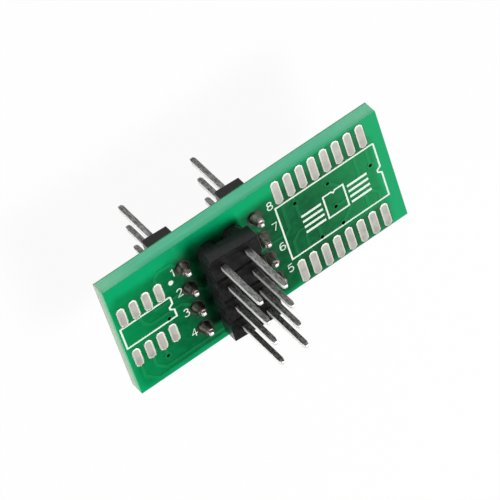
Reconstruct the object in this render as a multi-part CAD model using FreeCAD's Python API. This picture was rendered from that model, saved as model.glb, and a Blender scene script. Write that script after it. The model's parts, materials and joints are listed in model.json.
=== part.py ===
"""Adapter board of an in-circuit test clip.

A green circuit board carries an eight-pin header for the clip's ribbon cable on its front, two four-pin
headers on its back that plug into an eight-pin socket, and two rows of solder lands for small-outline chips.
It stands on the tips of its back pins: +Z is the front face's normal, +X runs towards the sixteen-pin lands,
and the origin is the centre of the pin field at the pin tips.  Millimetres throughout.
"""
import FreeCAD, Part
import math
import os

V = FreeCAD.Vector

# Pin grid shared by all three headers
pitch = 2.54
rows = 4
dip_columns = 3
pin_width = 0.64
pin_tip_width = 0.40
pin_tip_length = 0.35

# Header mouldings: notched cells, and a narrower boss round each pin on the board's side
cell_height = 1.74
boss_height = 0.80
boss_width = 2.00
boss_sides = 8
standoff = 0.15
cell_chamfer = 0.40
cable_corner = 0.40
strip_corner = 0.15
groove_width = 0.40
groove_depth = 0.30
body_edge = 0.08

# How far the pins stand out of their mouldings, and out of the board on the soldered side
dip_pin_reach = 6.00
cable_pin_reach = 5.84
solder_tail = 1.20

# Board layers
laminate = 1.48
copper = 0.035
tin = 0.020
mask = 0.025
ink = 0.015

# Plated holes, with octagonal rings on both faces, and their solder
drill = 1.08
plating = 0.04
drill_sides = 8
ring = 1.50
ring_sides = 8
ring_relief = 0.05
fillet_foot_gap = 0.05
fillet_top_wall = 0.04
fillet_height = 1.00
fillet_hollow = 2.0
fillet_steps = 3

# Through connections between the two copper layers
via_drill = 0.34
via_ring = 0.60
via_sides = 6

# Lands for small-outline chips
land_pitch = 1.27
land_width = 0.80
land_corner = 0.24
land_relief = 0.05
lands8 = 4
land8_length = 2.12
rows8 = 5.10
lands16 = 8
land16_length = 2.68
rows16 = 9.86
centre8_y = 0.24
centre16_y = -0.02

# Distances along the board, from pin column to land row and from land row to board edge
dip_to_lands8 = 2.755
dip_to_lands16 = 2.615
edge_left = 0.855
edge_right = 1.955
edge_top = 0.27
edge_bottom = 0.09

# Tracks under the mask
track = 0.28
link = 0.60
mask_wall = 0.03

# Lanes that the front tracks run in, as levels across the board
lane_edge = 0.48
lane_low8 = 2.15
lane_bend = 0.30
lane_centre = 0.07
lane_upper = 0.75
lane_middle = -0.53
lane_lower = -1.18
lane_start = -1.50
lane_run = 1.70
jog = 0.32

# Vias: how far from the ends of the lands that they serve, and how far along from the second land
via_below8 = 0.88
via_above8 = 0.76
via_below16 = 0.95
via_side8 = 0.04
via_side16 = 0.06
via_level_low = -2.73
via_level_right = 1.30
via_level_high = 2.40
via_run_low = 1.34
via_run_far = 3.61
via_run_middle = 3.43
via_run_high = 3.34

# Printed outlines, shifted from the copper as the print is on the board
print_line = 0.16
print_shift_x = 0.09
print_shift_y = 0.24
outline8 = (5.16, 2.39)
outline16 = (10.37, 6.39)
outline_notch = 0.36
outline_corner = 0.10
chip_symbol = (2.13, 2.60)
chip_symbol_at = (0.31, -0.21)
chip_notch = 0.20
bar_length = 2.10
bar_width = 0.26
bar_pitch = 0.643
bar_gap = 0.32
bar_drop = 0.19
dot_radius = 0.24
dot_sides = 12
dot_at = (-1.46, -0.78)
print_keepout = 0.04

# Levels, upwards from the tips of the back pins
body_back = dip_pin_reach
seat_back = body_back + cell_height + boss_height
laminate_back = seat_back + copper + mask
laminate_front = laminate_back + laminate
seat_front = laminate_front + copper + mask
cable_body = seat_front + standoff + boss_height
cable_body_top = cable_body + cell_height
cable_tip = cable_body_top + cable_pin_reach

# Places in the plane of the board
dip_x = dip_columns * pitch / 2
cable_x = pitch / 2
row_y = [(rows - 1) * pitch / 2 - i * pitch for i in range(rows)]
field8 = (lands8 - 1) * land_pitch
field16 = (lands16 - 1) * land_pitch
centre8_x = -(dip_x + dip_to_lands8 + field8 / 2)
centre16_x = dip_x + dip_to_lands16 + field16 / 2
board_left = centre8_x - field8 / 2 - edge_left
board_right = centre16_x + field16 / 2 + edge_right
board_top = centre16_y + rows16 / 2 + land16_length / 2 + edge_top
board_bottom = centre16_y - rows16 / 2 - land16_length / 2 - edge_bottom
land8_x = [centre8_x - field8 / 2 + i * land_pitch for i in range(lands8)]
land16_x = [centre16_x - field16 / 2 + i * land_pitch for i in range(lands16)]
top8 = centre8_y + rows8 / 2
bottom8 = centre8_y - rows8 / 2
top16 = centre16_y + rows16 / 2
bottom16 = centre16_y - rows16 / 2


def plate(points, low, high):
    """Prism of a closed outline between two levels."""
    wire = Part.makePolygon([V(x, y, low) for x, y in points] + [V(points[0][0], points[0][1], low)])
    return Part.Face(wire).extrude(V(0, 0, high - low))


def block(x0, x1, y0, y1, low, high):
    """Box between two corners."""
    return Part.makeBox(x1 - x0, y1 - y0, high - low, V(x0, y0, low))


def faceted_peg(x, y, width, sides, low, high):
    """Upright prism with flat sides, measured across its flats."""
    radius = width / 2 / math.cos(math.pi / sides)
    turns = [2 * math.pi * (i + 0.5) / sides for i in range(sides)]
    return plate([(x + radius * math.cos(a), y + radius * math.sin(a)) for a in turns], low, high)


def cut_square(x, y, width, cut, z):
    """Corners of a level square whose own corners are cut off at 45 degrees."""
    h = width / 2
    c = h - cut
    return [V(x + px, y + py, z) for px, py in
            ((h, -c), (h, c), (c, h), (-c, h), (-h, c), (-h, -c), (-c, -h), (c, -h))]


def stack(sections):
    """Flat-sided solid through level outlines whose edges run parallel."""
    faces = [Part.Face(Part.makePolygon(s + s[:1])) for s in (sections[0], sections[-1])]
    for low, high in zip(sections, sections[1:]):
        for i in range(len(low)):
            j = (i + 1) % len(low)
            faces.append(Part.Face(Part.makePolygon([low[i], low[j], high[j], high[i], low[i]])))
    solid = Part.makeSolid(Part.makeShell(faces))
    if solid.Volume < 0:
        solid.reverse()
    return solid


def joined(shapes):
    """One shape from several that touch or overlap."""
    whole = shapes[0].multiFuse(shapes[1:]) if len(shapes) > 1 else shapes[0]
    return whole.removeSplitter()


def export(name, solids):
    """Write one node from one solid or a list of them."""
    shape = Part.makeCompound(solids) if isinstance(solids, list) else solids
    shape.exportStep("parts/" + name + ".step")
    print(name, "solids", len(shape.Solids), "volume", round(shape.Volume, 4), "valid", shape.isValid())


def ribbon(points, width):
    """Outline of a flat track of one width with mitred corners and square ends."""
    left = []
    right = []
    for i, point in enumerate(points):
        before = points[max(i - 1, 0)]
        after = points[min(i + 1, len(points) - 1)]
        normals = []
        for a, b in ((before, point), (point, after)):
            run = math.hypot(b[0] - a[0], b[1] - a[1])
            if run > 0:
                normals.append(((a[1] - b[1]) / run, (b[0] - a[0]) / run))
        nx = sum(n[0] for n in normals) / len(normals)
        ny = sum(n[1] for n in normals) / len(normals)
        reach = width / 2 / (nx * nx + ny * ny)
        left.append((point[0] + nx * reach, point[1] + ny * reach))
        right.append((point[0] - nx * reach, point[1] - ny * reach))
    return left + right[::-1]


def land_outline(x, y, length, grow):
    """Outline of one land: a long octagon, grown on all sides."""
    w = land_width / 2 + grow
    h = length / 2 + grow
    c = land_corner + grow * (2 - math.sqrt(2))
    return [(x - w + c, y - h), (x + w - c, y - h), (x + w, y - h + c), (x + w, y + h - c),
            (x + w - c, y + h), (x - w + c, y + h), (x - w, y + h - c), (x - w, y - h + c)]


def land_rows(xs, ys, length, grow, low, high):
    """Both rows of lands of one chip, or the mask windows round them."""
    return [plate(land_outline(x, y, length, grow), low, high) for y in ys for x in xs]


def body_outline(columns, corner):
    """Outline of a header's cells, with a break-off notch in both sides between neighbouring rows."""
    c = cell_chamfer
    x1 = columns * pitch / 2
    y1 = rows * pitch / 2
    side = [(x1 - corner, -y1), (x1, corner - y1)]
    for i in range(1, rows):
        notch = i * pitch - y1
        side += [(x1, notch - c), (x1 - c, notch), (x1, notch + c)]
    side.append((x1, y1 - corner))
    return side + [(-x, -y) for x, y in side]


def groove(y, level, inward, reach):
    """V-shaped break-off groove across the free face of a moulding."""
    w = groove_width / 2
    points = [V(-reach, y - w, level), V(-reach, y + w, level), V(-reach, y, level + inward * groove_depth)]
    return Part.Face(Part.makePolygon(points + points[:1])).extrude(V(2 * reach, 0, 0))


def header_body(columns, x, low, boss_end, corner):
    """Header moulding: cells with an eased, grooved free face, and a boss round each pin behind them."""
    high = low + cell_height
    free = high if boss_end < low else low
    inward = -1 if boss_end < low else 1
    solid = plate(body_outline(columns, corner), low, high)
    rim = [e for e in solid.Edges if all(abs(v.Z - free) < 1e-6 for v in e.Vertexes)]
    solid = solid.makeChamfer(body_edge, rim)
    breaks = [i * pitch for i in range(1 - rows // 2, rows // 2)]
    solid = solid.cut([groove(y, free, inward, columns * pitch) for y in breaks])
    places = [((i - (columns - 1) / 2) * pitch, y) for i in range(columns) for y in row_y]
    near = min(boss_end, high)
    far = max(boss_end, low)
    bosses = [faceted_peg(px, y, boss_width, boss_sides, near, far) for px, y in places]
    half = pin_width / 2
    bottom = min(boss_end, low) - 1
    top = max(boss_end, high) + 1
    moulding = joined([solid] + bosses).cut([block(px - half, px + half, y - half, y + half, bottom, top)
                                             for px, y in places])
    moulding.translate(V(x, 0, 0))
    return moulding


def pin(x, y, low, high):
    """Square pin, tapered at both ends."""
    ends = [(low, pin_tip_width), (low + pin_tip_length, pin_width)]
    ends += [(high - pin_tip_length, pin_width), (high, pin_tip_width)]
    sections = []
    for z, width in ends:
        h = width / 2
        sections.append([V(x - h, y - h, z), V(x + h, y - h, z), V(x + h, y + h, z), V(x - h, y + h, z)])
    return stack(sections)


def solder_joint(x, y, side):
    """Solder of one pin: a hollow-flanked fillet standing on the ring, and the fill of the plated hole."""
    face = laminate_front + copper if side > 0 else laminate_back - copper
    other = laminate_back - copper if side > 0 else laminate_front + copper
    foot = ring - 2 * fillet_foot_gap
    crown = pin_width + 2 * fillet_top_wall
    foot_cut = foot * (1 - math.sqrt(0.5))
    sections = []
    for i in range(fillet_steps + 1):
        rise = i / fillet_steps
        spread = (1 - rise) ** fillet_hollow
        cut = fillet_top_wall + (foot_cut - fillet_top_wall) * spread
        width = crown + (foot - crown) * spread
        sections.append(cut_square(x, y, width, cut, face + side * rise * fillet_height))
    fillet = stack(sections)
    fill = faceted_peg(x, y, drill - 2 * plating, drill_sides, min(face, other), max(face, other))
    half = pin_width / 2
    reach = fillet_height + laminate
    pin_space = block(x - half, x + half, y - half, y + half, laminate_back - reach, laminate_front + reach)
    return fillet.fuse(fill).cut(pin_space)


def plated_hole(x, y):
    """Copper tube through the laminate with an octagonal ring on each face."""
    tube = faceted_peg(x, y, drill, drill_sides, laminate_back, laminate_front)
    rings = [faceted_peg(x, y, ring, ring_sides, laminate_front, laminate_front + copper),
             faceted_peg(x, y, ring, ring_sides, laminate_back - copper, laminate_back)]
    bore = faceted_peg(x, y, drill - 2 * plating, drill_sides, laminate_back - 1, laminate_front + 1)
    return joined([tube] + rings).cut(bore)


def front_tracks():
    """Centre lines of the tracks on the front, from land to via or soldered pin."""
    left4, left3, left2, left1 = land8_x
    right1, right2 = land16_x[0], land16_x[1]
    right7, right8 = land16_x[-2], land16_x[-1]
    reach8 = land8_length / 2 - land_corner
    reach16 = land16_length / 2 - land_corner
    low8 = bottom8 - reach8
    high8 = top8 + reach8
    low16 = bottom16 + reach16
    high16 = top16 - reach16
    edge = board_bottom + lane_edge
    inner = low8 - lane_low8
    via = via_places()
    end = right2 + lane_run
    return [
        [(left4, low8), (left4, low8 - 1.6), (left4 + 1.1, edge), (dip_x - ring / 2, edge),
         (dip_x, row_y[3])],
        [(left3, low8), (left3, low8 - 1.3), (left3 + 0.85, inner), (1.9, inner), (2.52, inner + 0.6),
         (2.52, row_y[2] - 0.55), (dip_x - 0.7, row_y[2])],
        [(left2, low8), via[0]],
        [(left1, bottom8), via[1]],
        [(left3, top8 - reach8), (left3 + lane_bend, lane_upper), (left3 + 0.85, 0.15), (-5.1, 0.15),
         (-dip_x - 0.5, row_y[2] + ring / 2), (-dip_x, row_y[2])],
        [(left2, top8 - reach8), (left2 + 0.5, row_y[1]), (-dip_x, row_y[1])],
        [(left1, high8), (left1, row_y[0] + 0.65), (left1 + 0.45, row_y[0] + 1.1),
         (-dip_x - 1.1, row_y[0] + 1.1), (-dip_x, row_y[0])],
        [(right1, high16), (right1, lane_centre + 0.35), (right1 - 0.35, lane_centre),
         (-dip_x + 1.2, lane_centre), (-dip_x, row_y[1])],
        [(right1, low16), (right1, lane_middle - 0.72), (right1 + 0.72, lane_middle), (end, lane_middle)],
        [(right2, high16), via[2], (right2, 2.25), (right2, lane_upper + jog), (right2 + jog, lane_upper),
         (end, lane_upper)],
        [(right2, low16), (right2, lane_start), (right2 + jog, lane_lower),
         (right2 + via_run_low - jog, lane_lower), (right2 + via_run_low, lane_start), via[3]],
        [(right7, high16), (right7, lane_upper + jog), (right7 - jog, lane_upper),
         (right7 - 1.41, lane_upper), via[7]],
        [(right7, low16), (right7, lane_start), (right7 - jog, lane_lower), (right7 - land_pitch, lane_lower),
         via[4]],
        [(right8, high16), via[6]],
        [(right8, low16), (right8, lane_middle - 1.37), (right8 - 1.37, lane_middle), via[5]],
    ]


def back_tracks():
    """Centre lines of the tracks on the back, from via to pin."""
    v = via_places()
    return [
        [v[0], (v[0][0] + 0.89, v[0][1] - 0.89), (-dip_x - 1.39, v[0][1] - 0.89), (-dip_x, row_y[3])],
        [v[1], (v[1][0] + 0.77, row_y[2]), (-dip_x, row_y[2])],
        [v[2], (v[2][0] - 0.08, pitch), (-pitch, pitch), (-dip_x, row_y[0])],
        [v[3], (v[3][0] - 0.19, -pitch), (-pitch, -pitch), (-dip_x, row_y[3])],
        [v[4], (v[4][0] - 1.08, row_y[3]), (dip_x, row_y[3])],
        [v[5], (v[5][0] - 0.74, row_y[2]), (dip_x, row_y[2])],
        [v[6], (v[6][0] - 0.03, row_y[1]), (dip_x, row_y[1])],
        [v[7], (v[7][0] - 1.41, row_y[0]), (dip_x, row_y[0])],
    ]


def via_places():
    """Through connections, each placed from the land that it serves."""
    right2 = land16_x[1]
    return [
        (land8_x[2] + via_side8, bottom8 - land8_length / 2 - via_below8),
        (land8_x[3] + via_side8, bottom8 + land8_length / 2 + via_above8),
        (right2 - via_side16, top16 - land16_length / 2 - via_below16),
        (right2 + via_run_low, via_level_low),
        (right2 + via_run_far, via_level_low),
        (right2 + via_run_middle, lane_middle),
        (land16_x[-1], via_level_right),
        (right2 + via_run_high, via_level_high),
    ]


def track_prisms(lines, width, low, high):
    """One prism for each track of a layer."""
    return [plate(ribbon(line, width), low, high) for line in lines]


def link_lines():
    """Short links on the back between each cable pin and the socket pin beside it."""
    return [[(s * cable_x, y), (s * dip_x, y)] for y in row_y for s in (-1, 1)]


def via_copper(x, y):
    """Plated tube of one via with its ring on both faces."""
    tube = faceted_peg(x, y, via_drill + 2 * plating, via_sides, laminate_back, laminate_front)
    rings = [faceted_peg(x, y, via_ring, via_sides, laminate_front, laminate_front + copper),
             faceted_peg(x, y, via_ring, via_sides, laminate_back - copper, laminate_back)]
    return joined([tube] + rings).cut(via_hole(x, y, 0))


def via_hole(x, y, grow):
    """Open bore of one via through all layers."""
    return faceted_peg(x, y, via_drill + 2 * grow, via_sides, laminate_back - 1, laminate_front + 1)


def holes():
    """Places of all sixteen drilled pin holes."""
    return [(s * x, y) for x in (cable_x, dip_x) for s in (-1, 1) for y in row_y]


def laminate_core():
    """Glass-epoxy core with its drilled holes."""
    core = block(board_left, board_right, board_bottom, board_top, laminate_back, laminate_front)
    below = laminate_back - 1
    above = laminate_front + 1
    drills = [faceted_peg(x, y, drill, drill_sides, below, above) for x, y in holes()]
    drills += [via_hole(x, y, plating) for x, y in via_places()]
    return core.cut(drills)


def copper_layer(lines, links, side):
    """Etched tracks of one face, ending at the lands, rings and vias that they serve."""
    low = laminate_front if side > 0 else laminate_back - copper
    high = low + copper
    prisms = track_prisms(lines, track, low, high) + track_prisms(links, link, low, high)
    keep_out = [faceted_peg(x, y, ring, ring_sides, low - 1, high + 1) for x, y in holes()]
    keep_out += [faceted_peg(x, y, via_ring, via_sides, low - 1, high + 1) for x, y in via_places()]
    if side > 0:
        keep_out += all_lands(0, low - 1, high + 1)
    return joined(prisms).cut(keep_out)


def all_lands(grow, low, high):
    """Every land of both chips, or the windows round them."""
    return (land_rows(land8_x, (top8, bottom8), land8_length, grow, low, high)
            + land_rows(land16_x, (top16, bottom16), land16_length, grow, low, high))


def solder_mask(lines, links, tracks, side):
    """Mask over one face: a thin sheet that rises over the tracks and opens at lands, rings and holes."""
    low = laminate_front if side > 0 else laminate_back - mask
    crest = laminate_front if side > 0 else laminate_back - copper - mask
    thick = mask + copper
    bumps = track_prisms(lines, track + 2 * mask_wall, crest, crest + thick)
    bumps += track_prisms(links, link + 2 * mask_wall, crest, crest + thick)
    via_cover = via_ring + 2 * mask_wall
    bumps += [faceted_peg(x, y, via_cover, via_sides, crest, crest + thick) for x, y in via_places()]
    sheet = block(board_left, board_right, board_bottom, board_top, low, low + mask)
    skin = joined([sheet] + bumps)
    bottom = crest - 1
    top = crest + thick + 1
    windows = [faceted_peg(x, y, ring + 2 * ring_relief, ring_sides, bottom, top) for x, y in holes()]
    windows += [via_hole(x, y, 0) for x, y in via_places()]
    windows += [via_copper(x, y) for x, y in via_places()]
    if side > 0:
        windows += all_lands(land_relief, bottom, top)
    return skin.cut(windows).cut(tracks)


def frame_line(x, y, size, notch_side):
    """Printed rectangle of a chip's body with the notch that marks its first pin's end."""
    w = size[0] / 2
    h = size[1] / 2
    c = outline_corner
    n = outline_notch
    path = [(x - w, y - h), (x + w, y - h), (x + w, y - n), (x + w - n, y - n / 3), (x + w - n, y + n / 3),
            (x + w, y + n), (x + w, y + h - c), (x + w - c, y + h), (x - w, y + h)]
    if notch_side == "top":
        m = chip_notch
        path = [(x - w, y - h), (x + w, y - h), (x + w, y + h), (x + m, y + h), (x, y + h - m),
                (x - m, y + h), (x - w, y + h)]
    return path


def stroke_frame(path, low, high):
    """Closed printed line, half its width each side of the path."""
    loop = Part.makePolygon([V(px, py, low) for px, py in path + path[:1]])
    outer = loop.makeOffset2D(print_line / 2, join=2)
    inner = loop.makeOffset2D(-print_line / 2, join=2)
    return Part.Face(outer).extrude(V(0, 0, high - low)).cut(Part.Face(inner).extrude(V(0, 0, high - low)))


def printed_outlines(mask_skin):
    """Printed body outlines, the small chip symbol with its leads, and the first pin's dot."""
    low = laminate_front + mask
    high = seat_front + ink
    x8 = centre8_x + print_shift_x
    y8 = centre8_y + print_shift_y
    x16 = centre16_x + print_shift_x
    y16 = centre16_y + print_shift_y
    cx = x16 + chip_symbol_at[0]
    cy = y16 + chip_symbol_at[1]
    marks = [stroke_frame(frame_line(x8, y8, outline8, "right"), low, high),
             stroke_frame(frame_line(x16, y16, outline16, "right"), low, high),
             stroke_frame(frame_line(cx, cy, chip_symbol, "top"), low, high)]
    lead_start = chip_symbol[0] / 2 + bar_gap
    for i in range(rows):
        y = cy - bar_drop + ((rows - 1) / 2 - i) * bar_pitch
        for s in (-1, 1):
            middle = cx + s * (lead_start + bar_length / 2)
            marks.append(block(middle - bar_length / 2, middle + bar_length / 2, y - bar_width / 2,
                               y + bar_width / 2, low, high))
    marks.append(faceted_peg(-dip_x + dot_at[0], row_y[0] + dot_at[1], 2 * dot_radius, dot_sides, low, high))
    keep_out = [via_hole(x, y, print_keepout) for x, y in via_places()]
    keep_out += all_lands(land_relief, low - 1, high + 1)
    pieces = []
    for mark in marks:
        pieces += mark.cut(keep_out).cut(mask_skin).Solids
    return pieces


def main():
    os.makedirs("parts", exist_ok=True)
    front = copper_layer(front_tracks(), [], 1)
    back = copper_layer(back_tracks(), link_lines(), -1)
    front_mask = solder_mask(front_tracks(), [], front, 1)
    export("board_core", laminate_core())
    export("front_tracks", front.Solids)
    export("back_tracks", back.Solids)
    export("front_mask", front_mask.Solids)
    export("back_mask", solder_mask(back_tracks(), link_lines(), back, -1).Solids)
    export("via_plating", [via_copper(x, y) for x, y in via_places()])
    export("dip_hole_plating", [plated_hole(s * dip_x, y) for s in (-1, 1) for y in row_y])
    export("cable_hole_plating", [plated_hole(s * cable_x, y) for s in (-1, 1) for y in row_y])
    land_top = laminate_front + copper + tin
    export("soic8_lands", land_rows(land8_x, (top8, bottom8), land8_length, 0, laminate_front, land_top))
    export("soic16_lands", land_rows(land16_x, (top16, bottom16), land16_length, 0, laminate_front, land_top))
    export("printed_outlines", printed_outlines(front_mask))
    export("cable_header_body", header_body(2, 0, cable_body, seat_front, cable_corner))
    export("dip_header_body_left", header_body(1, -dip_x, body_back, seat_back, strip_corner))
    export("dip_header_body_right", header_body(1, dip_x, body_back, seat_back, strip_corner))
    for i in range(rows):
        for s, first in ((-1, i + 1), (1, 2 * rows - i)):
            y = row_y[i]
            export("dip_pin_%d" % first, pin(s * dip_x, y, 0, seat_front + solder_tail))
            export("dip_joint_%d" % first, solder_joint(s * dip_x, y, 1))
            export("cable_pin_%d" % first, pin(s * cable_x, y, seat_back - solder_tail, cable_tip))
            export("cable_joint_%d" % first, solder_joint(s * cable_x, y, -1))
    print("board length", round(board_right - board_left, 3), "width", round(board_top - board_bottom, 3))
    print("height over both sets of pins", round(cable_tip, 3))


main()
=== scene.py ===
# %% [markdown]
# # A test clip's adapter board, dressed for its picture
#
# The solid model arrives finished: laminate, mask, tracks, lands, headers and pins.  This lesson gives each
# of them its look, and adds what a solid model leaves out: solder that flows up a pin, tin that domes on a
# land, moulded edges that catch the light, and the printed pin numbers.

# %% Load the solid model
import json
import math
import random

import bpy
from mathutils import Matrix, Quaternion, Vector


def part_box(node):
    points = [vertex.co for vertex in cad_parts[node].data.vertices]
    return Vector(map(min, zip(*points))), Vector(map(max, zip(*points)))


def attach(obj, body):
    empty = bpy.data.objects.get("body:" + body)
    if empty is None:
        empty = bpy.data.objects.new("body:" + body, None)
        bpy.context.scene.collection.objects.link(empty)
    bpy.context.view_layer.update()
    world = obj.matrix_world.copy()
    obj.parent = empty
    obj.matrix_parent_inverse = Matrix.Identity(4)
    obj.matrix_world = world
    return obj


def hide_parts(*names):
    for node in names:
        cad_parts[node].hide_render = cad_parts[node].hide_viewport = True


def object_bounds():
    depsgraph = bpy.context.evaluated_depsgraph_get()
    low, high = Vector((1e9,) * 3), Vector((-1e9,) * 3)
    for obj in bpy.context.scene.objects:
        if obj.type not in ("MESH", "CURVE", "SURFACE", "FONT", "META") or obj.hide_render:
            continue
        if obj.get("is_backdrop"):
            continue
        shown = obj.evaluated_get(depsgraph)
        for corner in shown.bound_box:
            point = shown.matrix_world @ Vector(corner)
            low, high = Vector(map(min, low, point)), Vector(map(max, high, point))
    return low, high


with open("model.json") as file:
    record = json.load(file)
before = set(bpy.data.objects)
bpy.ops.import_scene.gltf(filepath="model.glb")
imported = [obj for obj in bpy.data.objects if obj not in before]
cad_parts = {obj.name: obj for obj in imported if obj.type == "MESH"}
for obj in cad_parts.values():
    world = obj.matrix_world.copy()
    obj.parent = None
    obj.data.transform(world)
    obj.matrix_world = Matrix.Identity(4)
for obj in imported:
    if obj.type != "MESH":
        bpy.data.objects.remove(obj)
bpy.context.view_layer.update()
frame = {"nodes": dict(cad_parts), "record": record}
cad = frame["nodes"]
MM = 0.001
board_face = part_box("front_mask")[1].z
board_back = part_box("back_mask")[0].z
print("nodes", len(cad), "board face at", round(board_face / MM, 3), "mm")

# %% [markdown]
# ## The camera
#
# The picture was taken from far away with a long lens, so parallel edges stay nearly parallel.  Five
# values place the camera: the point it looks at, its distance, and three angles.  Its roll is large,
# because the board was photographed with the socket pins pointing up and to the left.  A Track To
# constraint could aim it as well, but a quaternion turned about the line of sight keeps the roll as one
# plain number.

# %% Camera
aim_point = Vector((2.40 * MM, 0.96 * MM, board_face))
camera_distance = 364.8 * MM
camera_azimuth = math.radians(108.83)
camera_elevation = math.radians(42.0)
camera_roll = math.radians(133.16)
lens_px = 4290.4
picture_px = 500
sensor_mm = 36

toward_camera = Vector((math.cos(camera_azimuth) * math.cos(camera_elevation),
                        math.sin(camera_azimuth) * math.cos(camera_elevation),
                        math.sin(camera_elevation)))
lens = bpy.data.cameras.new("long_lens")
lens.sensor_width = sensor_mm
lens.lens = lens_px / picture_px * sensor_mm
lens.clip_start = 0.01
lens.clip_end = 10
camera = bpy.data.objects.new("long_lens", lens)
bpy.context.scene.collection.objects.link(camera)
camera.location = aim_point + toward_camera * camera_distance
upright = toward_camera.to_track_quat("Z", "Y")
camera.rotation_mode = "QUATERNION"
camera.rotation_quaternion = upright @ Quaternion((0, 0, 1), camera_roll)
bpy.context.scene.camera = camera
bpy.context.scene.view_settings.view_transform = "Standard"
print("lens", round(lens.lens, 1), "mm")

# %% [markdown]
# ## Floor, lamps and sky
#
# A product picture on white needs a white floor that stays white without flooding the object with light.  A
# very bright lamp could do that, but it would wash the colours out.  Here the floor is mostly a plain glow
# for the camera and for mirror-like surfaces, and an ordinary matt white for everything else, so it still
# takes a shadow.  Large lamps are placed as in a light tent, and the sky is dim, so glossy black stays
# black.

# %% Helpers that build a material


def new_material(name):
    """Material with an empty node tree, ready for its own nodes."""
    material = bpy.data.materials.new(name)
    material.use_nodes = True
    material.node_tree.nodes.clear()
    return material


def add_node(tree, kind, inputs=None, **settings):
    """Node of one kind, with its settings and input values."""
    node = tree.nodes.new(kind)
    for key, value in settings.items():
        setattr(node, key, value)
    for key, value in (inputs or {}).items():
        node.inputs[key].default_value = value
    return node


def math_node(tree, operation, first, second=None):
    """Output of one Math node whose inputs are numbers or sockets."""
    node = add_node(tree, "ShaderNodeMath", operation=operation)
    for socket, value in zip(node.inputs, (first, second)):
        if value is None:
            continue
        if isinstance(value, (int, float)):
            socket.default_value = value
        else:
            tree.links.new(value, socket)
    return node.outputs[0]


def finish_material(tree, shader):
    """Output node for a finished shader."""
    output = add_node(tree, "ShaderNodeOutputMaterial")
    tree.links.new(shader.outputs[0], output.inputs["Surface"])


print("helpers", new_material.__name__, add_node.__name__, math_node.__name__, finish_material.__name__)

# %% Floor
floor_size = 0.9
floor_drop = 0.02 * MM
floor_glow = 0.94
matt_white = (0.9, 0.9, 0.9, 1)
bpy.ops.object.select_all(action="DESELECT")
bpy.ops.mesh.primitive_plane_add(size=floor_size, location=(0, 0, -floor_drop))
floor = bpy.context.object
floor.name = "floor"
floor_white = new_material("floor_white")
tree = floor_white.node_tree
glow = add_node(tree, "ShaderNodeEmission", {"Color": (1, 1, 1, 1), "Strength": 1.0})
matt = add_node(tree, "ShaderNodeBsdfDiffuse", {"Color": matt_white})
path = add_node(tree, "ShaderNodeLightPath")
seen = math_node(tree, "MAXIMUM", path.outputs["Is Camera Ray"], path.outputs["Is Glossy Ray"])
seen = math_node(tree, "MAXIMUM", seen, path.outputs["Is Transmission Ray"])
share = math_node(tree, "MULTIPLY", seen, floor_glow)
mix = add_node(tree, "ShaderNodeMixShader")
tree.links.new(share, mix.inputs[0])
tree.links.new(matt.outputs[0], mix.inputs[1])
tree.links.new(glow.outputs[0], mix.inputs[2])
finish_material(tree, mix)
floor.data.materials.append(floor_white)
floor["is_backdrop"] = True
print("floor", floor_size, "m wide")

# %% Lamps and sky
board_middle = Vector((3.0 * MM, 0, board_face))
sky_strength = 0.05
# Each lamp has its direction from the board, its distance and size in metres, and its power in watts.
lamp_plan = {
    "key_box": ((0.30, -0.30, 0.90), 0.42, 0.18, 1.70),
    "left_box": ((-1.00, 0.15, 0.12), 0.36, 0.20, 0.90),
    "front_box": ((-0.10, 1.00, 0.15), 0.40, 0.20, 0.40),
}
for lamp_name, (direction, distance, size, watts) in lamp_plan.items():
    lamp_data = bpy.data.lights.new(lamp_name, "AREA")
    lamp_data.shape = "SQUARE"
    lamp_data.size = size
    lamp_data.energy = watts
    lamp = bpy.data.objects.new(lamp_name, lamp_data)
    bpy.context.scene.collection.objects.link(lamp)
    lamp.location = board_middle + Vector(direction).normalized() * distance
    lamp.rotation_mode = "QUATERNION"
    lamp.rotation_quaternion = (lamp.location - board_middle).to_track_quat("Z", "Y")
    print(lamp_name, watts, "W at", distance, "m")

sky = bpy.data.worlds.new("dim_sky")
sky.use_nodes = True
sky.node_tree.nodes["Background"].inputs["Color"].default_value = (1, 1, 1, 1)
sky.node_tree.nodes["Background"].inputs["Strength"].default_value = sky_strength
bpy.context.scene.world = sky

# %% [markdown]
# ## Shared effects
#
# Two effects turn up on several finishes.  A soft mottle keeps large faces from looking like flat paint.
# Fine streaks are what shearing leaves along a square pin, and how layers of glass cloth show along a sawn
# edge.  Each could be copied into every material, but then a change has to be made many times.  So each is
# one node group with its own inputs, and every material that uses it sets its own scale.

# %% Soft mottle


def new_group(name, inputs):
    """Node group with float inputs and one mask as its output, and its end nodes."""
    group = bpy.data.node_groups.new(name, "ShaderNodeTree")
    for label, value in inputs.items():
        socket = group.interface.new_socket(label, in_out="INPUT", socket_type="NodeSocketFloat")
        socket.default_value = value
    group.interface.new_socket("Mask", in_out="OUTPUT", socket_type="NodeSocketFloat")
    return group, add_node(group, "NodeGroupInput"), add_node(group, "NodeGroupOutput")


mottle_group, start, end = new_group("soft_mottle", {"Per metre": 900.0, "Detail": 3.0})
coords = add_node(mottle_group, "ShaderNodeTexCoord")
cloud = add_node(mottle_group, "ShaderNodeTexNoise", {"Roughness": 0.55})
mottle_group.links.new(coords.outputs["Object"], cloud.inputs["Vector"])
mottle_group.links.new(start.outputs["Per metre"], cloud.inputs["Scale"])
mottle_group.links.new(start.outputs["Detail"], cloud.inputs["Detail"])
mottle_group.links.new(cloud.outputs["Fac"], end.inputs["Mask"])
print("soft mottle", len(mottle_group.nodes), "nodes")

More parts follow.
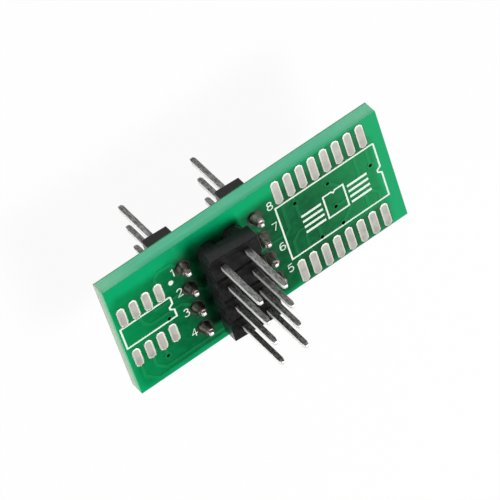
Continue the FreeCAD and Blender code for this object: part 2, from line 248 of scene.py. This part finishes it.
# %% Fine streaks
streak_scales = {"X per metre": 9000.0, "Y per metre": 9000.0, "Z per metre": 200.0}
streak_group, start, end = new_group("fine_streaks", streak_scales)
coords = add_node(streak_group, "ShaderNodeTexCoord")
stretch = add_node(streak_group, "ShaderNodeVectorMath", operation="MULTIPLY")
scales = add_node(streak_group, "ShaderNodeCombineXYZ")
for axis in "XYZ":
    streak_group.links.new(start.outputs[axis + " per metre"], scales.inputs[axis])
streak_group.links.new(coords.outputs["Object"], stretch.inputs[0])
streak_group.links.new(scales.outputs[0], stretch.inputs[1])
fibres = add_node(streak_group, "ShaderNodeTexNoise", {"Scale": 1.0, "Detail": 4.0, "Roughness": 0.6})
streak_group.links.new(stretch.outputs[0], fibres.inputs["Vector"])
streak_group.links.new(fibres.outputs["Fac"], end.inputs["Mask"])
print("fine streaks", len(streak_group.nodes), "nodes")

# %% Helpers that use a mask


def place_group(tree, group, **values):
    """Mask that a shared group gives in one material, with that material's own values."""
    node = add_node(tree, "ShaderNodeGroup", node_tree=group)
    for label, value in values.items():
        node.inputs[label.replace("_", " ")].default_value = value
    return node.outputs["Mask"]


def fitted(tree, mask, low, high, to_low=0.0, to_high=1.0):
    """Mask stretched from one range to another, with soft ends."""
    limits = {"From Min": low, "From Max": high, "To Min": to_low, "To Max": to_high}
    node = add_node(tree, "ShaderNodeMapRange", limits, interpolation_type="SMOOTHSTEP")
    tree.links.new(mask, node.inputs["Value"])
    return node.outputs["Result"]


def bump_from(tree, mask, depth, strength):
    """Normal from a height mask of a given depth."""
    node = add_node(tree, "ShaderNodeBump", {"Strength": strength, "Distance": depth})
    tree.links.new(mask, node.inputs["Height"])
    return node.outputs["Normal"]


def object_place(tree):
    """The three coordinates of a point on the object, in metres."""
    coords = add_node(tree, "ShaderNodeTexCoord")
    split = add_node(tree, "ShaderNodeSeparateXYZ")
    tree.links.new(coords.outputs["Object"], split.inputs[0])
    return split.outputs


print("helpers", place_group.__name__, fitted.__name__, bump_from.__name__, object_place.__name__)

# %% [markdown]
# ## Solder mask
#
# Mask is a thin green lacquer.  Near the edge of the board light comes through the laminate from behind and
# it glows, and that glow is painted into its colour.  Over the copper areas of the other side less light
# comes through, so it is darker, and over a track it is a shade lighter, because copper lies just below.  It
# gets painted shade beside the header and round it, and a painted reflection towards the right end.  All
# this could be painted on an image, but it follows from where a point is on the board.  So it is read from
# object coordinates, and the copper area and the pools between the lands follow the boxes of the solid
# model.

# %% Colours and distances


def srgb(red, green, blue):
    """Colour as it is read off a screen, turned into the linear values that shaders use."""
    channels = []
    for value in (red, green, blue):
        part = value / 255
        channels.append(part / 12.92 if part <= 0.04045 else ((part + 0.055) / 1.055) ** 2.4)
    return tuple(channels)


def mix_colours(tree, factor, first, second):
    """Colour mixed from two colours or sockets by a factor."""
    node = add_node(tree, "ShaderNodeMix", data_type="RGBA")
    for socket, value in ((node.inputs[0], factor), (node.inputs[6], first), (node.inputs[7], second)):
        if isinstance(value, bpy.types.NodeSocket):
            tree.links.new(value, socket)
        elif isinstance(value, (int, float)):
            socket.default_value = value
        else:
            socket.default_value = (*value, 1)
    return node.outputs[2]


def past_side(tree, place, middle, half):
    """How far a point is past the side of a box along one axis, below zero inside it."""
    away = math_node(tree, "ABSOLUTE", math_node(tree, "SUBTRACT", place, middle))
    return math_node(tree, "SUBTRACT", away, half)


def box_distance(tree, x, y, middle, half):
    """Distance outside a box in the plane of the board, below zero inside it."""
    past_x = past_side(tree, x, middle[0], half[0])
    past_y = past_side(tree, y, middle[1], half[1])
    out_x = math_node(tree, "MAXIMUM", past_x, 0.0)
    out_y = math_node(tree, "MAXIMUM", past_y, 0.0)
    squares = math_node(tree, "ADD", math_node(tree, "MULTIPLY", out_x, out_x),
                        math_node(tree, "MULTIPLY", out_y, out_y))
    inner = math_node(tree, "MINIMUM", math_node(tree, "MAXIMUM", past_x, past_y), 0.0)
    return math_node(tree, "ADD", math_node(tree, "SQRT", squares), inner)


print("mid grey in a shader", round(srgb(128, 128, 128)[0], 3))

# %% Copper area below the mask
laminate_low, laminate_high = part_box("board_core")
pour_low = Vector((laminate_low.x + 0.18 * MM, laminate_low.y + 0.28 * MM))
pour_high = Vector((laminate_high.x - 1.37 * MM, laminate_high.y - 1.47 * MM))
pour_corner = 0.9 * MM
pour_blur = 0.55 * MM
pour_wander = 0.7 * MM


def glow_outside_pour(tree, x, y):
    """Mask that is 1 outside the copper area, whose rounded border wanders a little."""
    middle = (pour_low + pour_high) / 2
    half = (pour_high - pour_low) / 2 - Vector((pour_corner, pour_corner))
    from_pour = math_node(tree, "SUBTRACT", box_distance(tree, x, y, middle, half), pour_corner)
    wobble = place_group(tree, mottle_group, Per_metre=350.0, Detail=2.0)
    shift = math_node(tree, "MULTIPLY", math_node(tree, "SUBTRACT", wobble, 0.5), pour_wander)
    return fitted(tree, math_node(tree, "ADD", from_pour, shift), -pour_blur, pour_blur)


print("copper area", [round(side / MM, 2) for side in pour_high - pour_low], "mm")

# %% Painted shade beside the header, and pools on the front
# Each column of painted shade has its place along the board and its share of the colour.
side_shade_columns = ((-3.30 * MM, 0.40), (3.90 * MM, 0.42))
side_shade_half = (0.55 * MM, 4.1 * MM)
side_shade_reach = 1.7 * MM
land_width = 0.80 * MM
pool_reach = 0.32 * MM
pools = {
    "soic16_lands": {"land_half": 1.34 * MM, "pool_half": 1.24 * MM, "share": 0.58,
                     "colour": srgb(16, 66, 40)},
    "soic8_lands": {"land_half": 1.06 * MM, "pool_half": 1.06 * MM, "share": 0.16,
                    "colour": srgb(14, 66, 38)},
}


def between_lands(tree, x, y, node_name):
    """Mask that is 1 in the two strips of lacquer that two rows of lands stand in."""
    low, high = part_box(node_name)
    land_half = pools[node_name]["land_half"]
    half = ((high.x - low.x - land_width) / 2, pools[node_name]["pool_half"])
    strips = []
    for level in (high.y - land_half, low.y + land_half):
        away = box_distance(tree, x, y, ((low.x + high.x) / 2, level), half)
        strips.append(fitted(tree, away, 0.0, pool_reach, 1.0, 0.0))
    return math_node(tree, "MAXIMUM", *strips)


def shaded_and_pooled(tree, x, y, colour):
    """Colour of the front lacquer with painted shade beside the header and darker pools between the lands.
    """
    for column, share in side_shade_columns:
        away = box_distance(tree, x, y, (column, 0.0), side_shade_half)
        side_shade = fitted(tree, away, 0.0, side_shade_reach, share, 0.0)
        # Painted shade: a darker strip down each side of the header, along the soldered pins.
        colour = mix_colours(tree, side_shade, colour, srgb(24, 62, 42))
    for node_name, pool in pools.items():
        share = math_node(tree, "MULTIPLY", between_lands(tree, x, y, node_name), pool["share"])
        colour = mix_colours(tree, share, colour, pool["colour"])
    return colour


print("side_shades", len(side_shade_columns), "pools", 2 * len(pools))

# %% Green lacquer
# Painted shade: the lacquer darkens towards a box in the middle of the board, by the header, for the shade
# it casts.
shade_middle = (2.2 * MM, -2.4 * MM)
shade_half = (6.0 * MM, 3.4 * MM)
shade_reach = 8.0 * MM
raised_share = 0.13
raised_margin = 0.01 * MM
# Painted reflection: towards the right end the lacquer is mixed with a pale colour, for a bright lamp
# mirrored there.
reflection_end = 16.0 * MM
reflection_share = 0.035
cloud_share = 0.12


def mask_material(name, colours, level, side):
    """Green lacquer: painted glow at the edge, darker in the middle with painted shade by the header,
    lighter over tracks.
    """
    material = new_material(name)
    tree = material.node_tree
    x, y, z = object_place(tree)
    # Painted shade round the header.
    near = box_distance(tree, x, y, shade_middle, shade_half)
    shade = fitted(tree, near, 0.0, shade_reach, 1.0, 0.0)
    colour = mix_colours(tree, shade, colours["pour"], colours["shade"])
    colour = mix_colours(tree, glow_outside_pour(tree, x, y), colour, colours["edge"])
    if side > 0:
        colour = shaded_and_pooled(tree, x, y, colour)
    height = math_node(tree, "MULTIPLY", z, side)
    raised = math_node(tree, "GREATER_THAN", height, level * side - raised_margin)
    colour = mix_colours(tree, math_node(tree, "MULTIPLY", raised, raised_share), colour, colours["raised"])
    # Painted reflection, paler towards the right end.
    colour = mix_colours(tree, fitted(tree, x, 0.0, reflection_end, 0.0, reflection_share), colour, srgb(190, 215, 180))
    mottle = place_group(tree, mottle_group, Per_metre=1400.0, Detail=4.0)
    colour = mix_colours(tree, fitted(tree, mottle, 0.3, 0.7, 0.0, cloud_share), colour, colours["edge"])
    shader = add_node(tree, "ShaderNodeBsdfPrincipled", {"IOR": 1.48, "Specular IOR Level": 0.4})
    tree.links.new(colour, shader.inputs["Base Color"])
    tree.links.new(fitted(tree, mottle, 0.2, 0.8, 0.10, 0.16), shader.inputs["Roughness"])
    tree.links.new(bump_from(tree, mottle, 0.02 * MM, 0.15), shader.inputs["Normal"])
    finish_material(tree, shader)
    return material


front_greens = {"edge": srgb(5, 172, 110), "pour": srgb(1, 141, 78), "shade": srgb(0, 92, 49),
                "raised": srgb(56, 182, 114)}
back_greens = {"edge": srgb(10, 180, 115), "pour": srgb(2, 128, 72), "shade": srgb(0, 100, 56),
               "raised": srgb(60, 180, 110)}
front_mask_look = mask_material("mask_front", front_greens, board_face, 1)
back_mask_look = mask_material("mask_back", back_greens, board_back, -1)
print("front lacquer", len(front_mask_look.node_tree.nodes), "nodes")

# %% [markdown]
# ## Laminate
#
# The sawn edge of the laminate shows its glass cloth as pale layers with a green tinge.  Light that enters
# the board comes out there, so the edge is lighter at its ends, and darkest where the back lacquer ends.
# The layers could be modelled, but they are thinner than a hair, so streaks along the board stand for them.

# %% Laminate's measures
tinge_from = laminate_low.z + 0.80 * MM
pale_to = laminate_low.z + 1.0 * MM
left_face_to = laminate_low.x + 0.30 * MM
left_face_from = laminate_low.x + 0.02 * MM
left_glow = (laminate_low.x + 5.0 * MM, 0.50)
right_glow = (laminate_high.x - 7.0 * MM, 0.30)
fibre_share = 0.09
rim_height = 0.13 * MM
rim_share = 0.80
window_depth = 0.006 * MM
print("laminate", round((laminate_high.z - laminate_low.z) / MM, 2), "mm thick")

# %% Laminate's colours, from its faces to its fibres
laminate_look = new_material("laminate_edge")
tree = laminate_look.node_tree
x, _, depth = object_place(tree)
left_face = fitted(tree, x, left_face_from, left_face_to, 1.0, 0.0)
toward_front = fitted(tree, depth, tinge_from, laminate_high.z)
cloud = place_group(tree, mottle_group, Per_metre=500.0, Detail=2.0)
long_edge = mix_colours(tree, cloud, srgb(76, 202, 156), srgb(94, 216, 170))
long_edge = mix_colours(tree, toward_front, long_edge, srgb(62, 190, 142))
from_back = fitted(tree, depth, laminate_low.z, pale_to)
short_edge = mix_colours(tree, from_back, srgb(198, 203, 184), srgb(144, 202, 166))
short_edge = mix_colours(tree, toward_front, short_edge, srgb(98, 182, 136))
left_end = fitted(tree, x, laminate_low.x, left_glow[0], left_glow[1], 0.0)
right_end = fitted(tree, x, right_glow[0], laminate_high.x, 0.0, right_glow[1])
long_edge = mix_colours(tree, math_node(tree, "ADD", left_end, right_end), long_edge, srgb(150, 226, 184))
colour = mix_colours(tree, left_face, long_edge, short_edge)
layers = place_group(tree, streak_group, X_per_metre=300.0, Y_per_metre=300.0, Z_per_metre=4200.0)
fibre = mix_colours(tree, fitted(tree, layers, 0.35, 0.65, 0.0, fibre_share), colour, srgb(206, 214, 190))
rim = fitted(tree, depth, laminate_low.z, laminate_low.z + rim_height, rim_share, 0.0)
colour = mix_colours(tree, rim, fibre, srgb(52, 88, 70))
in_window = fitted(tree, depth, laminate_high.z - window_depth, laminate_high.z - window_depth / 3)
colour = mix_colours(tree, in_window, colour, srgb(38, 62, 34))
shader = add_node(tree, "ShaderNodeBsdfPrincipled", {"Roughness": 0.55, "Specular IOR Level": 0.3})
tree.links.new(colour, shader.inputs["Base Color"])
tree.links.new(bump_from(tree, layers, 0.012 * MM, 0.2), shader.inputs["Normal"])
finish_material(tree, shader)
print("laminate's look", len(tree.nodes), "nodes")

# %% [markdown]
# ## Solder, copper, pins and tin
#
# Metal takes most of its look from what it mirrors, so one colour for each metal would already pass.  What
# makes it real is that its colour, roughness and relief change together.  Solder is a dull brownish grey,
# and the joints right of the header get a lighter copy of it, painted light.  Copper shows only at rings and
# window rims, and it is kept dark there, a painted shade like that round the feet of the joints.

# %% Mottled metals


def metal_material(name, dark, light, roughness, depth, metallic):
    """Metal whose colour, roughness and relief all follow one mottled mask."""
    material = new_material(name)
    tree = material.node_tree
    clouds = place_group(tree, mottle_group, Per_metre=1900.0, Detail=4.0)
    colour = mix_colours(tree, fitted(tree, clouds, 0.3, 0.7), dark, light)
    shader = add_node(tree, "ShaderNodeBsdfPrincipled", {"Metallic": metallic})
    tree.links.new(colour, shader.inputs["Base Color"])
    tree.links.new(fitted(tree, clouds, 0.2, 0.8, *roughness), shader.inputs["Roughness"])
    tree.links.new(bump_from(tree, clouds, depth, 0.4), shader.inputs["Normal"])
    finish_material(tree, shader)
    return material


solder_look = metal_material("solder", srgb(60, 52, 50), srgb(130, 119, 115), (0.26, 0.42), 0.06 * MM, 0.7)
# Painted light: a lighter copy of the solder for the joints right of the header.
lit_solder_look = metal_material("solder_painted_lighter", srgb(98, 86, 84), srgb(192, 179, 174), (0.30, 0.46), 0.06 * MM,
                            0.55)
# Painted shade: copper at the rings and window rims is kept near black-green, like the shade round the
# joints' feet.
copper_shade_look = metal_material("copper_painted_dark", srgb(24, 42, 30), srgb(48, 60, 46), (0.46, 0.58), 0.01 * MM,
                             0.4)
print("mottled metals", solder_look.name, lit_solder_look.name, copper_shade_look.name)

# %% [markdown]
# The faces of a square pin that look along X, and its cut tip, are painted near white, a painted highlight.
# The other two faces are a darker grey, full of streaks along the pin.  Two materials on one pin could tell
# them apart, but the normal of the surface in the object's own space does it with one.  The same trick
# paints a highlight on the rim of a land, where its tin thins out and slopes.

# %% Square pins


def facing(tree, axis):
    """How squarely the surface faces along one axis of the object, from 0 to 1."""
    coords = add_node(tree, "ShaderNodeTexCoord")
    split = add_node(tree, "ShaderNodeSeparateXYZ")
    tree.links.new(coords.outputs["Normal"], split.inputs[0])
    return math_node(tree, "ABSOLUTE", split.outputs[axis])


pin_look = new_material("drawn_pin")
tree = pin_look.node_tree
# Painted highlight: faces that look along X, and the tips, are painted near white.
painted_highlight_faces = math_node(tree, "MAXIMUM", facing(tree, "X"), facing(tree, "Z"))
painted_highlight_faces = fitted(tree, painted_highlight_faces, 0.45, 0.80)
grain = place_group(tree, streak_group, X_per_metre=9500.0, Y_per_metre=9500.0, Z_per_metre=2600.0)
grained_metal = mix_colours(tree, fitted(tree, grain, 0.34, 0.66), srgb(78, 77, 76), srgb(158, 157, 155))
colour = mix_colours(tree, painted_highlight_faces, grained_metal, srgb(252, 251, 249))
shader = add_node(tree, "ShaderNodeBsdfPrincipled")
tree.links.new(colour, shader.inputs["Base Color"])
tree.links.new(fitted(tree, painted_highlight_faces, 0.0, 1.0, 0.60, 0.38), shader.inputs["Metallic"])
tree.links.new(fitted(tree, grain, 0.2, 0.8, 0.28, 0.42), shader.inputs["Roughness"])
tree.links.new(bump_from(tree, grain, 0.015 * MM, 0.35), shader.inputs["Normal"])
finish_material(tree, shader)
print("square pins", len(tree.nodes), "nodes")

# %% Levelled tin
tin_look = new_material("levelled_tin")
tree = tin_look.node_tree
# Painted highlight: the sloping rim of each land is painted lighter.
rim = fitted(tree, facing(tree, "Z"), 0.984, 0.9995, 1.0, 0.0)
clouds = place_group(tree, mottle_group, Per_metre=1300.0, Detail=2.0)
colour = mix_colours(tree, fitted(tree, clouds, 0.3, 0.7), srgb(158, 156, 149), srgb(175, 172, 165))
colour = mix_colours(tree, rim, colour, srgb(228, 234, 220))
shader = add_node(tree, "ShaderNodeBsdfPrincipled", {"Metallic": 0.35})
tree.links.new(colour, shader.inputs["Base Color"])
tree.links.new(fitted(tree, clouds, 0.2, 0.8, 0.44, 0.54), shader.inputs["Roughness"])
finish_material(tree, shader)
print("levelled tin", len(tree.nodes), "nodes")

# %% [markdown]
# ## Moulded plastic and ink
#
# The header mouldings are black with a hint of the mould's texture, and the ink is a thick pale mint print
# with a slightly chalky surface.  Both are the same recipe with other numbers: one fine mottle steers
# colour, roughness and relief.  So one function makes both, and it is easy to see in what they differ.

# %% Plastic and ink


def mottled_material(name, scale, span, colours, roughness, bump, shine):
    """Finish that isn't metal, whose colour, roughness and relief follow one fine mottle."""
    material = new_material(name)
    tree = material.node_tree
    grain = place_group(tree, mottle_group, Per_metre=scale, Detail=5.0)
    shader = add_node(tree, "ShaderNodeBsdfPrincipled", shine)
    tree.links.new(mix_colours(tree, fitted(tree, grain, *span), *colours), shader.inputs["Base Color"])
    tree.links.new(fitted(tree, grain, 0.2, 0.8, *roughness), shader.inputs["Roughness"])
    tree.links.new(bump_from(tree, grain, *bump), shader.inputs["Normal"])
    finish_material(tree, shader)
    return material


plastic_look = mottled_material("moulded_black", 2600.0, (0.3, 0.7), (srgb(29, 29, 30), srgb(38, 38, 39)),
                                (0.17, 0.24), (0.008 * MM, 0.15), {"IOR": 1.36, "Specular IOR Level": 0.35})
ink_look = mottled_material("mint_print", 5200.0, (0.35, 0.7), (srgb(230, 250, 232), srgb(250, 255, 248)),
                            (0.5, 0.7), (0.01 * MM, 0.3), {"Specular IOR Level": 0.3})
print("moulded plastic and ink", plastic_look.name, ink_look.name)

# %% [markdown]
# ## Finishes on the solid model
#
# Each piece of the solid model names the kind of surface it has, such as laminate or tin.  Finishes could
# be given piece by piece, but the names already say which belongs where, so one dictionary is enough.

# %% Finishes on the solid model's own pieces
looks = {"laminate": laminate_look, "copper": copper_shade_look, "solder_mask": front_mask_look,
         "solder_mask_back": back_mask_look, "tin": tin_look, "solder": solder_look, "print_ink": ink_look,
         "header_plastic": plastic_look, "pin_metal": pin_look}
slots = {part["node"]: part["material_slot"] for part in frame["record"]["subparts"]}
for node_name, node in cad.items():
    if not node.data.materials:
        node.data.materials.append(None)
    for place in node.material_slots:
        place.material = looks[slots[node_name]]
print("finishes", len(looks))

# %% [markdown]
# ## Softened edges
#
# Moulded plastic and cut pins never have knife edges.  Shading alone could hint at that, but only a real
# bevel catches the light from every side.  So a copy of each solid is merged, its flat faces are made whole
# again, and a narrow bevel runs along its sharp edges.  Weighted normals then keep the large faces flat, so
# that only the bevel draws a thin bright line along every edge.  The photographed pins are slimmer than the
# solid model's, so their copies are drawn in about their middles as well.

# %% Softened copies
weld_distance = 0.0005 * MM
flat_angle = math.radians(1)
sharp_angle = math.radians(25)
smooth_angle = math.radians(28)


def select_only(obj):
    """Make one object the selected and active one."""
    bpy.ops.object.select_all(action="DESELECT")
    obj.select_set(True)
    bpy.context.view_layer.objects.active = obj


def merged_copy(node_name, piece_name):
    """Copy of a solid node as one clean mesh with whole flat faces."""
    piece = bpy.data.objects.new(piece_name, cad[node_name].data.copy())
    bpy.context.scene.collection.objects.link(piece)
    select_only(piece)
    bpy.ops.object.mode_set(mode="EDIT")
    bpy.ops.mesh.select_all(action="SELECT")
    bpy.ops.mesh.remove_doubles(threshold=weld_distance)
    bpy.ops.mesh.dissolve_limited(angle_limit=flat_angle)
    bpy.ops.object.mode_set(mode="OBJECT")
    return piece


def stand_for(piece, node_name):
    """Attach a piece to the board's root, so it rides with the board, and hide the solid node it replaces.
    """
    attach(piece, "root")
    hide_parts(node_name)


def softened_copy(node_name, piece_name, width, across=1.0):
    """Piece that stands for a solid node, with rounded edges and its thickness scaled about its middle."""
    piece = merged_copy(node_name, piece_name)
    low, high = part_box(node_name)
    bpy.ops.object.mode_set(mode="EDIT")
    bpy.ops.mesh.select_all(action="SELECT")
    bpy.ops.transform.resize(value=(across, across, 1), center_override=(low + high) / 2)
    bpy.ops.object.mode_set(mode="OBJECT")
    bevel = piece.modifiers.new("soft_edges", "BEVEL")
    bevel.width = width
    bevel.segments = 2
    bevel.limit_method = "ANGLE"
    bevel.angle_limit = sharp_angle
    bpy.ops.object.modifier_apply(modifier=bevel.name)
    bpy.ops.object.shade_smooth_by_angle(angle=smooth_angle)
    flat = piece.modifiers.new("flat_faces", "WEIGHTED_NORMAL")
    flat.mode = "FACE_AREA"
    flat.weight = 100
    flat.keep_sharp = True
    bpy.ops.object.modifier_apply(modifier=flat.name)
    stand_for(piece, node_name)
    return piece


print("edges sharper than", round(math.degrees(sharp_angle)), "degrees get a bevel")

# %% Mouldings and pins
mould_radius = 0.03 * MM
pin_radius = 0.035 * MM
pin_thickness = 0.52 * MM
pin_low, pin_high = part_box("cable_pin_1")
pin_share = pin_thickness / (pin_high.x - pin_low.x)
mouldings = [softened_copy(node_name, node_name + "_moulded", mould_radius)
             for node_name in ("cable_header_body", "dip_header_body_left", "dip_header_body_right")]
pins = [softened_copy(node_name, node_name + "_drawn", pin_radius, pin_share)
        for node_name in sorted(cad) if "_pin_" in node_name]
print("mouldings", len(mouldings), "pins", len(pins), "at", round(pin_share, 3), "of the solids' thickness")

# %% [markdown]
# ## Solder joints
#
# Molten solder climbs a pin and pulls itself into a hollow cone.  A curve spun round the pin would give
# that shape too, but here it is drawn up ring by ring, as the solder itself rises.  One joint starts as a
# disc at the far end of the plated hole.  It is extruded through the hole, spread over the ring, and drawn
# up the pin in rings that shrink along a curve.  The copies lean and stretch a little by chance, because no
# two hand-soldered joints are alike.

# %% One solder joint
front_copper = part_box("front_tracks")[1].z
back_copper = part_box("back_tracks")[0].z
joint_sides = 28
hole_radius = 0.49 * MM
joint_low, joint_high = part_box("dip_joint_1")
foot_share = 0.84
foot_radius = foot_share * (joint_high.x - joint_low.x) / 2
crown_radius = 0.41 * MM
joint_rise = 0.95 * MM
joint_hollow = 1.4
joint_rings = 9
bead_steps = ((0.37 * MM, 0.05 * MM), (0.27 * MM, 0.03 * MM))
joint_smooth = math.radians(55)


def extrude_ring(rise, scale):
    """Extrude the selected disc upwards, then change its size."""
    bpy.ops.mesh.extrude_region_move(TRANSFORM_OT_translate={"value": (0, 0, rise)})
    bpy.ops.transform.resize(value=(scale, scale, 1))


bpy.ops.object.select_all(action="DESELECT")
bpy.ops.mesh.primitive_circle_add(vertices=joint_sides, radius=hole_radius, fill_type="NGON",
                                  location=(0, 0, back_copper))
joint_pattern = bpy.context.object
bpy.ops.object.transform_apply(location=True)
bpy.ops.object.mode_set(mode="EDIT")
bpy.ops.mesh.select_all(action="SELECT")
extrude_ring(front_copper - back_copper, 1.0)
extrude_ring(0.0, foot_radius / hole_radius)
radius = foot_radius
for ring_number in range(1, joint_rings + 1):
    spread = (1 - ring_number / joint_rings) ** joint_hollow
    next_radius = crown_radius + (foot_radius - crown_radius) * spread
    extrude_ring(joint_rise / joint_rings, next_radius / radius)
    radius = next_radius
for next_radius, rise in bead_steps:
    extrude_ring(rise, next_radius / radius)
    radius = next_radius
bpy.ops.mesh.select_all(action="SELECT")
bpy.ops.mesh.normals_make_consistent(inside=False)
bpy.ops.object.mode_set(mode="OBJECT")
bpy.ops.object.shade_smooth_by_angle(angle=joint_smooth)
print("joint faces", len(joint_pattern.data.polygons))

# %% Sixteen joints
chance = random.Random(11)
most_lean = 0.10
least_stretch = 0.92
most_stretch = 1.05
for node_name in sorted(cad):
    if "_joint_" not in node_name:
        continue
    low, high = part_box(node_name)
    place = Vector(((low.x + high.x) / 2, (low.y + high.y) / 2, front_copper))
    lean_x = chance.uniform(-most_lean, most_lean)
    lean_y = chance.uniform(-most_lean, most_lean)
    stretch = chance.uniform(least_stretch, most_stretch)
    shape = Matrix(((1, 0, lean_x, 0), (0, 1, lean_y, 0), (0, 0, stretch, 0), (0, 0, 0, 1)))
    shape = Matrix.Translation(place) @ shape @ Matrix.Translation((0, 0, -front_copper))
    on_back = node_name.startswith("cable")
    if on_back:
        upside_down = Matrix.Scale(-1, 4, (0, 0, 1))
        shape = Matrix.Translation((0, 0, front_copper + back_copper)) @ upside_down @ shape
    piece = bpy.data.objects.new(node_name + "_flowed", joint_pattern.data.copy())
    bpy.context.scene.collection.objects.link(piece)
    piece.data.transform(shape)
    select_only(piece)
    if on_back:
        bpy.ops.object.mode_set(mode="EDIT")
        bpy.ops.mesh.select_all(action="SELECT")
        bpy.ops.mesh.normals_make_consistent(inside=False)
        bpy.ops.object.mode_set(mode="OBJECT")
    # Joints right of the header get the copy with painted light.
    piece.data.materials.append(lit_solder_look if place.x > 0 else solder_look)
    stand_for(piece, node_name)
bpy.data.objects.remove(joint_pattern)

# %% [markdown]
# ## Domed lands
#
# Tin that was levelled by hot air stands highest in the middle of a land and thins towards its rim.  A bump
# map would shade it, but wouldn't round its outline against the mask.  So a copy of each set of lands has
# its flat tops lowered, then inset twice, each time a little higher than before.

# %% Lands
level_margin = 0.001 * MM
rim_drop = 0.022 * MM
rim_steps = ((0.11 * MM, 0.019 * MM), (0.08 * MM, 0.006 * MM))
faces_up = 0.9
land_smooth = math.radians(40)
for node_name in ("soic8_lands", "soic16_lands"):
    piece = merged_copy(node_name, node_name + "_domed")
    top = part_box(node_name)[1].z
    for face in piece.data.polygons:
        face.select = face.normal.z > faces_up and abs(face.center.z - top) < level_margin
    bpy.ops.object.mode_set(mode="EDIT")
    bpy.ops.mesh.select_mode(type="FACE")
    bpy.ops.transform.translate(value=(0, 0, -rim_drop))
    for inset, rise in rim_steps:
        bpy.ops.mesh.inset(thickness=inset, depth=rise, use_individual=True)
    bpy.ops.object.mode_set(mode="OBJECT")
    bpy.ops.object.shade_smooth_by_angle(angle=land_smooth)
    stand_for(piece, node_name)
    print(piece.name, "faces", len(piece.data.polygons))

# %% [markdown]
# ## Printed numbers
#
# Each pin that is soldered on the front has its number beside it, printed as one thin line of ink.  A text
# object could write it, but its letters have filled outlines in the shape of a type, and this print is a
# line of even width.  So a number is drawn from straight strokes and parts of ovals, on a field one unit
# high.  The line is a curve with a round section.  It is turned into a mesh and pressed nearly flat, so its
# top stays rounded, as that of ink does.

# %% Number strokes
bowl_step = 22.5
upper_bowl = ((0.0, 0.28), (0.25, 0.22))
lower_bowl = ((0.0, -0.22), (0.30, 0.28))


def bowl(middle, radii, first, last):
    """Points along part of an oval, from one angle in degrees to another."""
    steps = round(abs(last - first) / bowl_step)
    angles = [math.radians(first + (last - first) * step / steps) for step in range(steps + 1)]
    return [(middle[0] + radii[0] * math.cos(angle), middle[1] + radii[1] * math.sin(angle))
            for angle in angles]


number_strokes = {
    "1": [(-0.17, 0.30), (0.03, 0.50), (0.03, -0.50)],
    "2": bowl((-0.01, 0.24), (0.28, 0.26), 170, -35) + [(-0.30, -0.50), (0.31, -0.50)],
    "3": bowl(*upper_bowl, 150, -90) + bowl(*lower_bowl, 65, -150),
    "4": [(0.12, -0.50), (0.12, 0.50), (-0.31, -0.17), (0.31, -0.17)],
    "5": [(0.27, 0.50), (-0.21, 0.50), (-0.25, 0.03)] + bowl((0.0, -0.18), (0.30, 0.32), 120, -145),
    "6": bowl((0.02, 0.05), (0.32, 0.45), 55, 180) + bowl((0.0, -0.20), (0.30, 0.30), 180, 540),
    "7": [(-0.29, 0.50), (0.29, 0.50), (-0.08, -0.50)],
    "8": bowl(*upper_bowl, 270, -90) + bowl(*lower_bowl, 112.5, 450),
}
print("points in the numbers", sum(len(points) for points in number_strokes.values()))

# %% Numbers on the board
number_height = 0.84 * MM
stroke_radius = 0.060 * MM
ink_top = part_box("printed_outlines")[1].z
ink_half = 0.03 * MM
ink_smooth = math.radians(50)
offsets_from_pin = {"1": (-0.97 * MM, 0.09 * MM), "2": (-1.01 * MM, 0.17 * MM), "3": (-1.10 * MM, 0.17 * MM),
                    "4": (-1.05 * MM, 0.11 * MM), "5": (1.54 * MM, 0.06 * MM), "6": (1.49 * MM, 0.32 * MM),
                    "7": (1.44 * MM, 0.33 * MM), "8": (1.57 * MM, 0.24 * MM)}
for label, points in number_strokes.items():
    line = bpy.data.curves.new("pin_number_" + label, "CURVE")
    line.dimensions = "3D"
    line.bevel_depth = stroke_radius
    line.bevel_resolution = 2
    line.use_fill_caps = True
    spline = line.splines.new("POLY")
    spline.points.add(len(points) - 1)
    for place, (across, up) in zip(spline.points, points):
        place.co = (across * number_height, up * number_height, 0, 1)
    drawn = bpy.data.objects.new("pin_number_" + label, line)
    bpy.context.scene.collection.objects.link(drawn)
    select_only(drawn)
    bpy.ops.object.convert(target="MESH")
    piece = bpy.context.object
    low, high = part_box("dip_pin_" + label)
    across, up = offsets_from_pin[label]
    pressed = Matrix.Scale(ink_half / stroke_radius, 4, (0, 0, 1))
    middle = Vector(((low.x + high.x) / 2 + across, (low.y + high.y) / 2 + up, ink_top - ink_half))
    piece.data.transform(Matrix.Translation(middle) @ pressed)
    bpy.ops.object.shade_smooth_by_angle(angle=ink_smooth)
    piece.data.materials.append(ink_look)
    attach(piece, "root")
print("numbers", len(number_strokes))

# %% Sizes, and the end
low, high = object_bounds()
print("size mm", [round((b - a) / MM, 3) for a, b in zip(low, high)])
